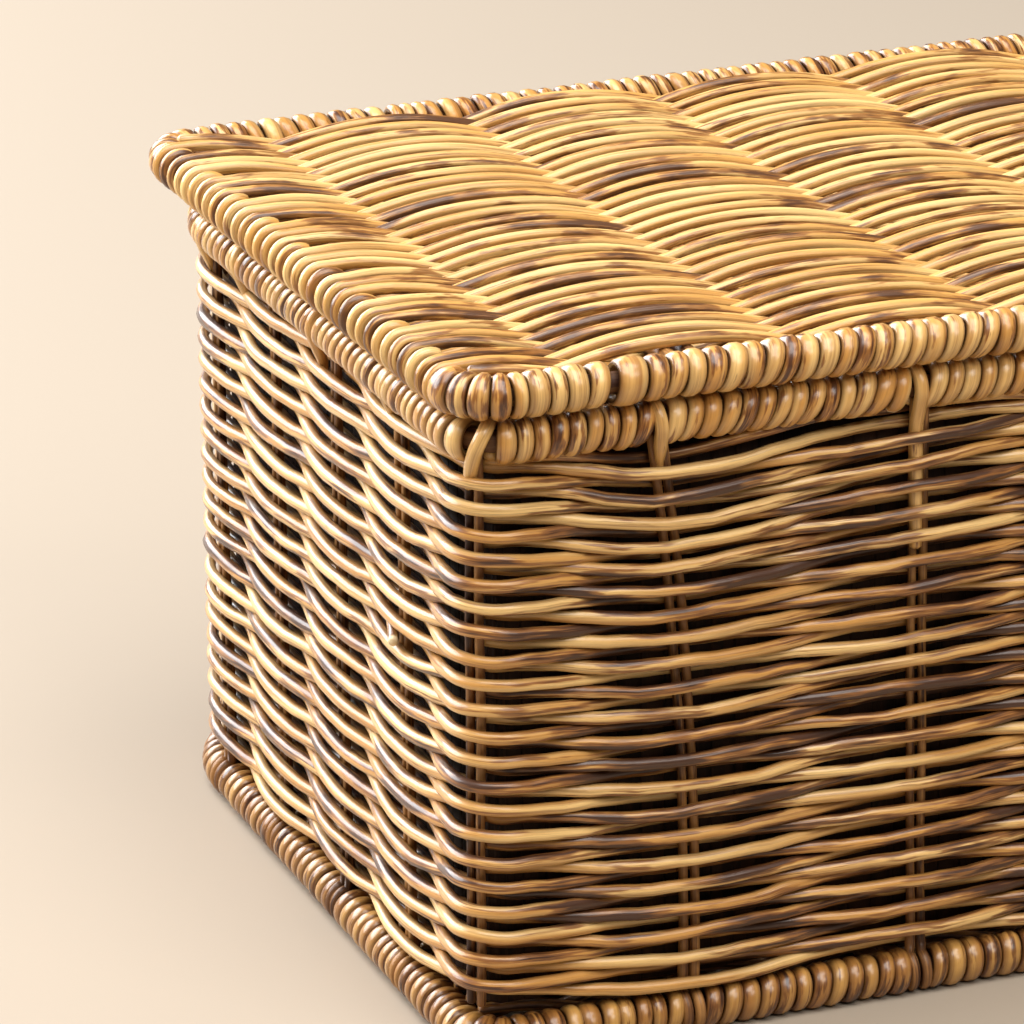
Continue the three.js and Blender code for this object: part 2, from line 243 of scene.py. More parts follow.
@dataclass(frozen=True)
class CaneFinish:
    """Lacquered rattan cane: golden skin, smoked patches with abrupt ends, streaks along the fibres, and painted
    shade on the sides where it meets other canes.
    """

    name: str
    light: Levels
    middle: Levels
    vein: Levels
    dark: Levels = DARK
    patch_length: float = 30.0
    patch_round: float = 0.55
    patch_share: float = 0.34
    scorch_length: float = 32.0
    # How much the dark patches thin out on the left side, and the x stretch in metres over which they thin.
    left_patch_cut: float = 0.0
    left_patch_edge: Stretch = (-0.176, -0.188)
    grain: float = 0.3
    roughness: float = 0.34
    specular: float = 0.26
    coat: float = 0.8
    coat_roughness: float = 0.23
    # Strength of the painted shade on the sides of each cane, where it meets its neighbours.
    edge_shading: float = 0.8
    relief: float = 0.4

    def material(self) -> bpy.types.Material:
        """Builds the material.

        Returns:
            The material, which reads the piece's "cane" UV map and its "tone" and "groove" attributes; the "groove"
            values place painted shade on each cane's sides and pale pith on cut ends.
        """
        graph = Graph(self.name)
        place = graph.node("ShaderNodeUVMap", {"uv_map": "cane"}).outputs[0]
        along, turn = graph.part(place, 0), graph.part(place, 1) * math.tau
        side, rise = graph.math("COSINE", turn), graph.math("SINE", turn)

        def fibre(per_metre: float, round_scale: float, detail: float, rough: float) -> Value:
            """Noise that runs along the cane and closes round it."""
            vector = graph.node("ShaderNodeCombineXYZ", {}, {
                0: along * per_metre, 1: side * round_scale, 2: rise * round_scale}).outputs[0]
            return graph.noise(vector, detail, rough)

        tone, groove = graph.attribute("tone"), graph.attribute("groove")
        around = graph.node("ShaderNodeTexCoord").outputs["Object"]
        streak = fibre(26.0, 1.9, 4.0, 0.6)
        thread = fibre(60.0, 5.0, 3.0, 0.62)
        fine = fibre(260.0, 11.0, 2.0, 0.6)
        warm = fibre(13.0, 0.45, 2.0, 0.5)
        scorch = graph.noise(around, 2.0, 0.5, 1 / (MM * self.scorch_length))
        bias = (tone - 0.5) * 0.16
        patches = fibre(1 / (MM * self.patch_length), self.patch_round, 3.0, 0.55) * 0.75 + scorch * 0.25
        patches = patches + (streak - 0.5) * 0.35 + bias
        # Fewer dark patches on the left side, where x is below about -0.18 m.
        patches = patches - graph.step(graph.part(around, 0), *self.left_patch_edge) * self.left_patch_cut
        edge = 0.58 - 0.25 * self.patch_share
        browned, smoked = graph.step(patches, edge, edge + 0.06), graph.step(patches, edge + 0.06, edge + 0.14)
        layers = (
            (graph.step(streak, 0.42, 0.74) * 0.7, self.vein),
            (browned * 0.88, self.vein),
            (smoked * 0.9, self.dark),
            (graph.step(thread, 0.48, 0.8) * self.grain, self.dark),
            (graph.step(fine, 0.62, 0.76) * self.grain, self.dark),
            # Painted shade: brown, then deep brown, on the sides of each cane where it meets its neighbours.
            (graph.step(groove, 0.3, 1.0) * (0.6 * self.edge_shading), PAINTED_EDGE_SHADE),
            (graph.step(groove, 0.84, 1.04) * self.edge_shading, PAINTED_DEEP_SHADE),
            (graph.step(groove, -0.3, -0.9), PITH),
        )
        colour = graph.mix(graph.step(warm + bias, 0.33, 0.62), srgb(self.light), srgb(self.middle))
        for share, levels in layers:
            colour = graph.mix(share, colour, srgb(levels))
        bump = graph.node("ShaderNodeBump", {}, {
            "Strength": 0.45, "Distance": self.relief * MM, "Height": thread * 0.6 + fine * 0.4})
        return graph.principled({
            "Base Color": colour, "Roughness": self.roughness + (fine - 0.5) * 0.14 + smoked * 0.05,
            "Coat Weight": self.coat, "Coat Roughness": self.coat_roughness, "Specular IOR Level": self.specular,
            "Normal": bump.outputs[0]})


class Finishes:
    """The finishes of the box, made once each."""

    def __init__(self) -> None:
        """Builds every material."""
        turned = {"patch_length": 9.0, "patch_round": 1.2}
        # Each finish below sets how strong the painted shade on its cane sides is, strongest on the turns of the
        # hoops.
        self.weave = CaneFinish("smoked_cane", (239, 198, 128), (206, 149, 75), (136, 84, 38), patch_share=0.44,
                                left_patch_cut=0.05, roughness=0.46, edge_shading=0.5).material()
        self.lid = CaneFinish("lid_cane", (242, 203, 132), (221, 167, 89), (151, 98, 46), (80, 48, 26),
                              patch_length=20.0, patch_share=0.25, roughness=0.42, edge_shading=0.36).material()
        self.wrap = CaneFinish("golden_cane", (234, 190, 119), (204, 147, 74), (134, 82, 37), (70, 38, 20),
                               patch_share=0.22, grain=0.16, edge_shading=0.9, **turned).material()
        # A darker copy of the golden finish, for the base hoop and the bottom: painted shade, as the base hoop lies
        # in shade at the front.
        self.shaded_golden = CaneFinish("shaded_golden_cane", (193, 145, 77), (161, 110, 53), (111, 67, 29), (48, 26, 14),
                               patch_share=0.2, grain=0.2, roughness=0.38, edge_shading=1.0, **turned).material()
        self.stake = CaneFinish("stake_cane", (178, 128, 72), (139, 94, 52), (101, 66, 39), roughness=0.42,
                                coat=0.2).material()
        self.core = CaneFinish("bare_pole", (130, 90, 52), (92, 60, 36), (72, 46, 30), roughness=0.55,
                               coat=0.05).material()
        # The slats are near black: painted shade for the dark inside of the box, seen through the weave.
        self.slat = CaneFinish("dark_slat", (58, 35, 19), (49, 29, 15), (42, 24, 12), (30, 17, 9), roughness=0.7,
                               coat=0.0, edge_shading=0.0).material()


@dataclass(frozen=True)
class Wander:
    """A smooth chance line: a few waves of chance phase over a length."""

    seed: int
    length: float
    waves: tuple[int, ...]
    swing: float = 1.4

    @cached_property
    def phases(self) -> np.ndarray:
        """Chance phase of each wave."""
        return np.random.default_rng(self.seed).uniform(0, math.tau, len(self.waves))

    def at(self, place: np.ndarray, shift: float = 0.0) -> np.ndarray:
        """Values between about -1 and 1.

        Args:
            place: distances along the length.
            shift: moves the phases, so that neighbours differ a little.

        Returns:
            One value for each place.
        """
        total = sum(np.sin(math.tau * count * place / self.length + phase + shift * (1 + 0.3 * count))
                    for count, phase in zip(self.waves, self.phases))
        return total / len(self.waves) * self.swing


@dataclass(frozen=True)
class HoopLine:
    """Middle line of a hoop, run anticlockwise from the middle of the back."""

    length: float
    depth: float
    front_bend: float
    back_bend: float
    height: float
    fineness: int = 8000

    @property
    def side(self) -> float:
        """Straight run of a short side."""
        return self.depth - self.front_bend - self.back_bend

    @cached_property
    def runs(self) -> list[tuple[float, float]]:
        """Lengths and bends (0 where straight) of the line's stretches."""
        half, side = (self.length / 2 - self.back_bend, 0.0), (self.side, 0.0)
        back, front = ((bend * math.pi / 2, bend) for bend in (self.back_bend, self.front_bend))
        return [half, back, side, front, (self.length - 2 * self.front_bend, 0.0), front, side, back, half]

    @cached_property
    def starts(self) -> np.ndarray:
        """Distance at which each stretch starts, and the total at the end."""
        return sums([run for run, _ in self.runs])

    @property
    def total(self) -> float:
        """Length of the whole line."""
        return float(self.starts[-1])

    @cached_property
    def corners(self) -> tuple[float, float]:
        """Distances of the middles of the front corners, the left one first."""
        half = self.runs[3][0] / 2
        return self.starts[3] + half, self.starts[5] + half

    @cached_property
    def table(self) -> tuple[np.ndarray, np.ndarray, np.ndarray]:
        """Distances, headings and places in plan at close steps along the line."""
        heading = [math.pi]
        for run, bend in self.runs:
            heading.append(heading[-1] + (run / bend if bend else 0.0))
        steps = np.linspace(0, self.total, self.fineness + 1)
        angle = np.interp(steps, self.starts, heading)
        middle = (angle[1:] + angle[:-1]) / 2
        moves = np.stack([np.cos(middle), np.sin(middle)], 1) * steps[1]
        places = np.concatenate([[[0.0, 0.0]], np.cumsum(moves, 0)]) + [0.0, self.depth / 2]
        return steps, angle, places

    def at(self, place: np.ndarray) -> tuple[np.ndarray, np.ndarray, np.ndarray]:
        """Points on the line.

        Args:
            place: distances along it.

        Returns:
            Points, directions outwards and directions ahead, each with three columns.
        """
        steps, angle, places = self.table
        wrapped = np.mod(place, self.total)
        turn = np.interp(wrapped, steps, angle)
        points = np.stack([np.interp(wrapped, steps, places[:, 0]), np.interp(wrapped, steps, places[:, 1]),
                           np.full_like(wrapped, self.height)], -1)
        outward = np.stack([np.sin(turn), -np.cos(turn), np.zeros_like(turn)], -1)
        ahead = np.stack([np.cos(turn), np.sin(turn), np.zeros_like(turn)], -1)
        return points, outward, ahead

    def frame(self, place: float) -> tuple[np.ndarray, np.ndarray, np.ndarray]:
        """One point on the line, with its directions outwards and ahead."""
        points, outward, ahead = self.at(np.array([place]))
        return points[0], outward[0], ahead[0]

    def beside(self, place: np.ndarray, out: np.ndarray, height: np.ndarray) -> np.ndarray:
        """Points at distances along the line, moved outwards from it and set at heights of their own."""
        points, outward, _ = self.at(place)
        return np.c_[(points + outward * out[:, None])[:, :2], height]

    def front(self, x: float) -> float:
        """Distance along the line of a place on the front edge."""
        return float(self.starts[4]) + x + self.length / 2 - self.front_bend

    def bend_at(self, place: float) -> float:
        """Bend of the line at a distance, or 0 where it is straight."""
        index = int(np.searchsorted(self.starts, place % self.total, side="right")) - 1
        return self.runs[min(index, len(self.runs) - 1)][1]

    def tight(self, place: float) -> bool:
        """Whether the line has a tight bend at a distance."""
        return 0 < self.bend_at(place) < TIGHT_BEND


@dataclass
class Strand:
    """One cane: the points of its middle line, its radius, and how a turn is widened."""

    points: np.ndarray
    radius: np.ndarray
    closed: bool = False
    tone: float = 0.5
    centre: np.ndarray | None = None
    ahead: np.ndarray | None = None
    outward: np.ndarray | None = None
    widen: float = 1.0
    lean: float = 0.0
    fan: float = 0.0
    across: np.ndarray | None = None
    cut: bool = False
    cut_rings: int = 3

    def edge(self, points: np.ndarray) -> np.ndarray:
        """How near surface points are to the neighbouring cane.

        Args:
            points: the cane's surface points, before they are shaped.

        Returns:
            0 at the crown, 1 at the sides and -1 on a cut end, for each point.
        """
        sides = len(points) // len(self.points)
        near = np.zeros(len(points))
        if self.centre is not None:
            near = np.abs((points - self.centre) @ self.ahead) / float(np.max(self.radius))
        elif self.across is not None:
            offset = points - np.repeat(self.points, sides, 0)
            near = np.abs(offset @ self.across) / np.maximum(np.repeat(self.radius, sides), 0.1)
        if self.cut:
            near[-self.cut_rings * sides:] = -1.0
        return near

    def shaped(self, points: np.ndarray) -> np.ndarray:
        """Widens a turn along its hoop, leans it, and fans it out in a bend.

        Args:
            points: the cane's surface points.

        Returns:
            The moved points.
        """
        if self.centre is None:
            return points
        offset = points - self.centre
        run, out = offset @ self.ahead, offset @ self.outward
        moved = run * (self.widen * (1 + self.fan * out) - 1) + self.lean * offset[:, 2]
        return points + moved[:, None] * self.ahead


class CaneBundle:
    """Canes that make up one piece."""

    def __init__(self, name: str, seed: int, sides: int = 8) -> None:
        """Starts an empty bundle.

        Args:
            name: the piece's name.
            seed: seed of its chance values.
            sides: number of sides of a cane, which is even.
        """
        self.name = name
        self.sides = sides
        self.rng = np.random.default_rng(seed)
        self.strands: list[Strand] = []

    def add(self, points: np.ndarray, radius: np.ndarray | float, **options: object) -> None:
        """Adds a cane; an open one gets rounded ends.

        Args:
            points: points of its middle line.
            radius: its radius, one number or one for each point.
            options: other fields of Strand.
        """
        radii = np.broadcast_to(np.asarray(radius, float), (len(points),)).copy()
        if not options.get("closed"):
            points, radii = self.rounded(points, radii)
        chance = float(self.rng.uniform())
        self.strands.append(Strand(points, radii, **{"tone": chance, **options}))

    @staticmethod
    def rounded(points: np.ndarray, radii: np.ndarray) -> tuple[np.ndarray, np.ndarray]:
        """Adds a small dome at both ends of an open cane.

        Args:
            points: points of its middle line.
            radii: their radii.

        Returns:
            The longer list of points and their radii.
        """
        first, last = points[0] - points[1], points[-1] - points[-2]
        first, last = first / np.linalg.norm(first), last / np.linalg.norm(last)
        head = [points[0] + first * radii[0] * reach for reach in (0.5, 0.42)]
        tail = [points[-1] + last * radii[-1] * reach for reach in (0.42, 0.5)]
        return (np.concatenate([head, points, tail]),
                np.concatenate([[1e-4, radii[0] * 0.62], radii, [radii[-1] * 0.62, 1e-4]]))

    def build(self, material: bpy.types.Material) -> bpy.types.Object:
        """Makes the piece's mesh from curves, with a UV map along and round each cane.

        Args:
            material: the piece's material.

        Returns:
            The object.
        """
        curve = bpy.data.curves.new(self.name, "CURVE")
        curve.dimensions = "3D"
        curve.bevel_depth = 1.0
        curve.bevel_resolution = (self.sides - 4) // 2
        for strand in self.strands:
            spline = curve.splines.new("POLY")
            spline.points.add(len(strand.points) - 1)
            spline.points.foreach_set("co", np.c_[strand.points * MM, np.ones(len(strand.points))].ravel())
            spline.points.foreach_set("radius", strand.radius * MM)
            spline.use_cyclic_u = strand.closed
        holder = bpy.data.objects.new(self.name + "_line", curve)
        bpy.context.scene.collection.objects.link(holder)
        graph = bpy.context.evaluated_depsgraph_get()
        mesh = bpy.data.meshes.new_from_object(holder.evaluated_get(graph))
        bpy.data.objects.remove(holder)
        bpy.data.curves.remove(curve)
        mesh.name = self.name
        self.finish_mesh(mesh)
        mesh.materials.clear()
        mesh.materials.append(material)
        piece = bpy.data.objects.new(self.name, mesh)
        bpy.context.scene.collection.objects.link(piece)
        LOG.info("%s: %d canes, %d faces", self.name, len(self.strands), len(mesh.polygons))
        return piece

    def finish_mesh(self, mesh: bpy.types.Mesh) -> None:
        """Widens the turns and writes the UV map, the tone of each cane, and the groove values that place painted
        shade on its sides.

        Args:
            mesh: the mesh, whose points run cane by cane and ring by ring.
        """
        counts = np.array([len(strand.points) for strand in self.strands])
        firsts = sums(counts)
        if len(mesh.vertices) != firsts[-1] * self.sides:
            raise ValueError(f"{self.name}: {len(mesh.vertices)} points for {firsts[-1]} rings")
        points = np.empty(len(mesh.vertices) * 3)
        mesh.vertices.foreach_get("co", points)
        points = points.reshape(-1, 3) / MM
        along = np.empty(firsts[-1])
        totals = np.empty(len(counts))
        groove = np.zeros(len(points))
        for number, strand in enumerate(self.strands):
            part = slice(firsts[number], firsts[number + 1])
            along[part] = sums(np.linalg.norm(np.diff(strand.points, axis=0), axis=1))
            totals[number] = along[part][-1] + np.linalg.norm(strand.points[0] - strand.points[-1])
            skin = slice(firsts[number] * self.sides, firsts[number + 1] * self.sides)
            groove[skin] = strand.edge(points[skin])
            points[skin] = strand.shaped(points[skin])
        points[:, 2] = np.maximum(points[:, 2], 0.0)
        mesh.vertices.foreach_set("co", (points * MM).ravel())
        corners = np.empty(len(mesh.loops), np.int64)
        mesh.loops.foreach_get("vertex_index", corners)
        quads = corners.reshape(-1, 4)
        ring, side = quads // self.sides, quads % self.sides
        owner = np.repeat(np.arange(len(counts)), counts)
        strand_of = owner[ring[:, 0]]
        closing = (np.ptp(side, axis=1) > 1)[:, None] & (side == 0)
        lap = (np.ptp(ring, axis=1) > 1)[:, None] & (ring == ring.min(1, keepdims=True))
        start = self.rng.uniform(0, 40, len(counts))
        reach = np.where(lap, totals[strand_of][:, None], along[ring]) * MM + start[strand_of][:, None]
        turn = np.where(closing, self.sides, side) / self.sides
        layer = mesh.uv_layers[0] if mesh.uv_layers else mesh.uv_layers.new()
        layer.name = "cane"
        layer.data.foreach_set("uv", np.stack([reach, turn], -1).astype(np.float32).ravel())
        tones = np.array([strand.tone for strand in self.strands])[owner]
        for name, values in (("tone", np.repeat(tones, self.sides)), ("groove", groove)):
            attribute = mesh.attributes.new(name, "FLOAT", "POINT")
            attribute.data.foreach_set("value", values.astype(np.float32))
        mesh.polygons.foreach_set("use_smooth", np.ones(len(mesh.polygons), bool))
        mesh.update()


def settle(piece: bpy.types.Object, body: Body, slot: Slot, *nodes: str) -> None:
    """Lets a piece ride on a body and stand for CAD nodes.

    Args:
        piece: the piece.
        body: the body it rides on.
        slot: the record's material slot; not used.
        nodes: CAD nodes that it stands for.
    """
    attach(piece, body.value)
    if nodes:
        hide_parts(*nodes)


@dataclass
class Stakes:
    """Pairs of upright rods in the wall, in the order in which the strands meet them."""

    line: HoopLine
    bottom: float = 8.0
    top: float = 176.0
    radius: float = 1.36
    half_gap: float = 1.66
    ring: float = 4.9
    foot_bend: float = 5.0
    foot_half_gap: float = 3.2
    foot_spread: float = 1.12
    foot_thick: float = 1.2
    front_bays: int = 6
    side_bays: int = 4
    back_bays: int = 8
    seen: dict[str, tuple[float, float, float]] = field(default_factory=lambda: {
        "corner_stake_1": (0.0, 1.0, -2.4),
        "front_stake_1": (-14.2, -9.3, -1.6),
        "front_stake_2": (1.5, -1.4, 5.8),
    })

    @cached_property
    def groups(self) -> dict[str, list[float]]:
        """Distance along the hoop of each CAD stake, by name."""
        line = self.line
        left, right, corner = line.starts[3], line.starts[5], line.runs[3][0]
        bay = (line.depth - line.back_bend) / self.side_bays
        back = 2 * line.runs[0][0] + math.pi * line.back_bend
        return {
            "corner_stake": list(line.corners),
            "front_stake": [left + corner - line.front_bend + line.length * count / self.front_bays
                            for count in range(1, self.front_bays)],
            "left_stake": [left + line.front_bend - bay * count for count in range(1, self.side_bays + 1)],
            "right_stake": [right + corner - line.front_bend + bay * count for count in range(1, self.side_bays + 1)],
            "back_stake": [(line.total + back * (count / self.back_bays - 0.5)) % line.total
                           for count in range(1, self.back_bays)],
        }

    @cached_property
    def order(self) -> list[tuple[float, str]]:
        """Distance and CAD node of each pair, in order along the hoop."""
        return sorted((place, f"{name}_{number}") for name, places in self.groups.items()
                      for number, place in enumerate(places, 1))

    @cached_property
    def names(self) -> list[str]:
        """Names of the CAD nodes, in order along the hoop."""
        return [name for _, name in self.order]

    @cached_property
    def places(self) -> np.ndarray:
        """Distances along the hoop, in order."""
        return np.array([place for place, _ in self.order])

    @cached_property
    def bends(self) -> np.ndarray:
        """Bow, lean and shift of each pair along the hoop: measured where they are seen, by chance elsewhere."""
        chance = np.random.default_rng(5).uniform(-2.5, 2.5, len(self.places))
        return np.array([self.seen.get(name, (0.0, lean, 0.0)) for name, lean in zip(self.names, chance)])

    @property
    def corner(self) -> int:
        """Number of the pair at the near front corner."""
        return self.names.index("corner_stake_1")

    @property
    def foot(self) -> float:
        """Height at which the rods start to bend over the base hoop."""
        return self.line.height + self.ring

    @property
    def gaps(self) -> list[Stretch]:
        """Stretches of the base hoop over which the rods lie."""
        return [(float(place) - self.foot_half_gap, float(place) + self.foot_half_gap)
                for name, place in zip(self.names, self.places_at(self.foot)) if not name.startswith("corner")]

    def places_at(self, height: float) -> np.ndarray:
        """Distances of the pairs at a height, with their lean."""
        share = (height - self.bottom) / (self.top - self.bottom) - 0.5
        return self.places + self.bends @ [share**2, share, 1.0]

    def phase(self, place: np.ndarray, height: float) -> np.ndarray:
        """Counts pairs along the hoop, with 0 at the near front corner.

        Args:
            place: distances along the hoop.
            height: height at which they are counted.

        Returns:
            A whole number at each pair, and shares of a bay between them.
        """
        now, total = self.places_at(height), self.line.total
        steps = np.concatenate([[now[-1] - total], now, [now[0] + total]])
        return np.interp(place, steps, np.arange(-1, len(now) + 1)) - self.corner

    def build(self, finishes: Finishes) -> None:
        """Makes the rods, which come down over the base hoop on the outside.

        Args:
            finishes: the box's finishes.
        """
        bundle = CaneBundle("stakes", 11)
        heights = np.linspace(self.foot + self.foot_bend, self.top, 22)
        angle = np.radians(np.linspace(-62, 84, 13))
        for number, name in enumerate(self.names):
            place = np.array([self.places_at(height)[number] for height in heights])
            for leg in ENDS:
                sway = Wander(100 + 2 * number + leg, 170.0, (1, 2, 3))
                points = self.line.beside(place + leg * self.half_gap + 0.2 * sway.at(heights),
                                          0.3 * sway.at(heights, 1.0), heights)
                thick = np.ones(len(heights))
                if not name.startswith("corner"):
                    centre, out, _ = self.line.frame(place[0] + leg * self.foot_spread * self.half_gap)
                    points = np.concatenate([arc(centre, out, self.ring, angle), points])
                    thick[:4] = np.linspace(self.foot_thick, 1.0, 4)
                    thick = np.concatenate([np.full(len(angle), self.foot_thick), thick])
                bundle.add(points, self.radius * bundle.rng.uniform(0.93, 1.05) * thick)
        settle(bundle.build(finishes.stake), Body.BOX, Slot.STAKE, *self.names)


@dataclass
class Wall:
    """Courses of cane that pass in front of and behind the stakes, all the way round."""

    line: HoopLine
    stakes: Stakes
    bottom: float = 15.6
    top: float = 170.3
    courses: int = 43
    radius: float = 1.88
    throw: float = 2.95
    step: float = 4.4
    corner_step: float = 1.7
    corner_reach: float = 15.0
    sink: float = 1.4
    lift: float = 1.6
    top_share: float = 0.92
    loose_stake: str = "left_stake_1"
    loose_start: float = -15.0
    loose_length: float = 19.0
    loose_height: float = 111.4
    loose_radius: float = 1.55

    @cached_property
    def places(self) -> np.ndarray:
        """Distances at which a course has a point: close together at the tight front corners."""
        places = np.arange(0, self.line.total, self.step)
        for corner in self.line.corners:
            near = np.arange(corner - self.corner_reach, corner + self.corner_reach, self.corner_step)
            apart = np.abs(places - corner) > self.corner_reach + self.corner_step / 2
            places = np.concatenate([places[apart], near])
        return np.sort(places)

    def wander(self, seed: int, *waves: int) -> Wander:
        """A chance line that runs once round the wall."""
        return Wander(seed, self.line.total, waves)

    @staticmethod
    def drift(phase: np.ndarray, number: int) -> np.ndarray:
        """How far a course is off its level: up at the near corner, and down at the first stake of the front.

        Args:
            phase: place along the course, counted in stakes from the near corner.
            number: the course's number.

        Returns:
            One height for each place.
        """
        rise = 3.4 - 2.1 * math.exp(-(number / 7) ** 2)
        dip = 0.8 + 4.4 * math.exp(-(number / 9) ** 2)
        reach = np.where(phase < 1.0, 0.42, 0.7)
        return rise * np.exp(-(phase / 0.5) ** 2) - dip * np.exp(-((phase - 1.0) / reach) ** 2)

    def course(self, number: int) -> tuple[np.ndarray, np.ndarray]:
        """One course, counted from the top.

        Args:
            number: its number.

        Returns:
            Points of its middle line and their radii.
        """
        place = self.places
        height = self.top - (self.top - self.bottom) * number / (self.courses - 1)
        phase = self.stakes.phase(place, height)
        wave = -np.cos(math.pi * (phase + number))
        squared = wave * (1.22 - 0.22 * wave**2)
        shared = self.wander(21, 4, 9, 15, 26).at(place, 0.22 * number)
        own = self.wander(300 + number, 11, 23, 31, 43, 71, 97).at(place)
        level = height + self.drift(phase, number) + 0.6 * shared + 0.4 * own
        points = self.line.beside(place, self.throw * squared + 0.15 * own,
                                  np.clip(level, self.bottom - self.sink, self.top + self.lift))
        return points, self.radius * (1 + 0.07 * self.wander(500 + number, 3, 9, 19, 37).at(place))

    def top_strand(self, bundle: CaneBundle) -> None:
        """Adds the strand that runs behind every stake under the top rim.

        Args:
            bundle: the bundle that takes it.
        """
        place = self.places
        phase = self.stakes.phase(place, self.top)
        bay = np.cos(math.tau * phase)
        behind = 0.5 + 0.5 * np.cos(math.pi * (phase + self.courses - 1))
        own = self.wander(299, 11, 23, 31, 43).at(place)
        points = self.line.beside(place, -1.5 - 1.7 * bay, self.top - 0.6 - 1.4 * bay + 5.0 * behind + 0.4 * own)
        bundle.add(points, self.radius * self.top_share, closed=True, across=UP, tone=0.9)

    def loose_end(self, bundle: CaneBundle) -> None:
        """Adds the cut end of a course that stands out at a stake of the left side.

        Args:
            bundle: the bundle that takes it.
        """
        place = self.stakes.places[self.stakes.names.index(self.loose_stake)]
        share = np.linspace(0, 1, 9)
        points = self.line.beside(place + self.loose_start + self.loose_length * share, 0.4 + 5.0 * share**1.5,
                                  self.loose_height - 3.8 * share)
        bundle.add(points, self.loose_radius, cut=True)

    def build(self, finishes: Finishes) -> None:
        """Makes the courses, as two pieces of every second one.

        Args:
            finishes: the box's finishes.
        """
        for half, name in enumerate(("wall_courses_front", "wall_courses_between")):
            bundle = CaneBundle(name, 31 + half)
            for number in range(half, self.courses, 2):
                points, radius = self.course(number)
                bundle.add(points, radius * bundle.rng.uniform(0.95, 1.04), closed=True, across=UP)
            if half == 0:
                self.loose_end(bundle)
                self.top_strand(bundle)
            settle(bundle.build(finishes.weave), Body.BOX, Slot.WEAVE, "wall_weave")


@dataclass
class Rim:
    """Turns of cane round the core of a hoop."""

    line: HoopLine
    name: str
    body: Body
    seed: int
    core: float = 3.2
    thickness: float = 3.3
    pitch: float = 5.35
    bend_pitch: float = 4.5
    lean: float = 0.34
    lean_run: float = 70.0
    points: int = 28
    sides: int = 10
    stout_swell: float = 1.06
    skips: list[Stretch] = field(default_factory=list)
    stout: list[tuple[float, float]] = field(default_factory=list)

    @property
    def ring(self) -> float:
        """Radius of a turn's middle line."""
        return self.core + self.thickness / 2

    @property
    def stretches(self) -> list[Stretch]:
        """Stretches of the hoop that have turns, between those that have none."""
        edges = [0.0, *[edge for skip in sorted(self.skips) for edge in skip], self.line.total]
        return list(zip(edges[::2], edges[1::2]))

    def steps(self, bundle: CaneBundle, start: float, end: float) -> list[float]:
        """Chance widths of turns that fill a stretch.

        Args:
            bundle: the bundle that takes the turns.
            start: where the stretch starts along the hoop.
            end: where it ends.

        Returns:
            The widths in order.
        """
        widths: list[float] = []
        place = start
        while place < end - self.pitch / 2:
            pitch = self.bend_pitch if self.line.tight(place) else self.pitch
            widths.append(pitch * bundle.rng.uniform(0.87, 1.13))
            place += widths[-1]
        return [width * (end - start) / (place - start) for width in widths]

    def turn(self, bundle: CaneBundle, place: float, width: float, swell: float = 1.0, **options: object) -> None:
        """Adds one turn.

        Args:
            bundle: the bundle that takes it.
            place: its distance along the hoop.
            width: its width along the hoop.
            swell: how much larger than usual its ring is.
            options: other fields of Strand.
        """
        point, outward, ahead = self.line.frame(place)
        angle = np.linspace(0, math.tau, self.points, endpoint=False) + math.pi / 2
        ring = arc(point, outward, self.ring * bundle.rng.uniform(0.97, 1.04) * swell, angle)
        bend = self.line.bend_at(place)
        away = min(1.0, 0.15 + float(np.abs(self.line.starts[3:7] - place).min()) / self.lean_run)
        bundle.add(ring, self.thickness / 2 * bundle.rng.uniform(0.94, 1.04), closed=True, centre=point,
                   ahead=ahead, outward=outward, widen=width / self.thickness,
                   lean=self.lean * away + bundle.rng.uniform(-0.09, 0.09), fan=1 / bend if bend else 0.0, **options)

    def build(self, finishes: Finishes, skin: bpy.types.Material, *nodes: str) -> None:
        """Makes the turns and the core.

        Args:
            finishes: the box's finishes.
            skin: material of the turns.
            nodes: CAD nodes of the wrapping.
        """
        bundle = CaneBundle(f"{self.name}_turns", self.seed, self.sides)
        for start, end in self.stretches:
            place = start
            for step in self.steps(bundle, start, end):
                self.turn(bundle, place + step / 2, step * bundle.rng.uniform(0.98, 1.06))
                place += step
        for place, width in self.stout:
            self.turn(bundle, place, width, self.stout_swell, tone=0.0)
        settle(bundle.build(skin), self.body, Slot.WRAP, *nodes)
        pole = CaneBundle(f"{self.name}_core", self.seed + 1)
        points, _, _ = self.line.at(np.linspace(0, self.line.total, 260, endpoint=False))
        pole.add(points, self.core, closed=True)
        settle(pole.build(finishes.core), self.body, Slot.CORE, f"{self.name}_core")


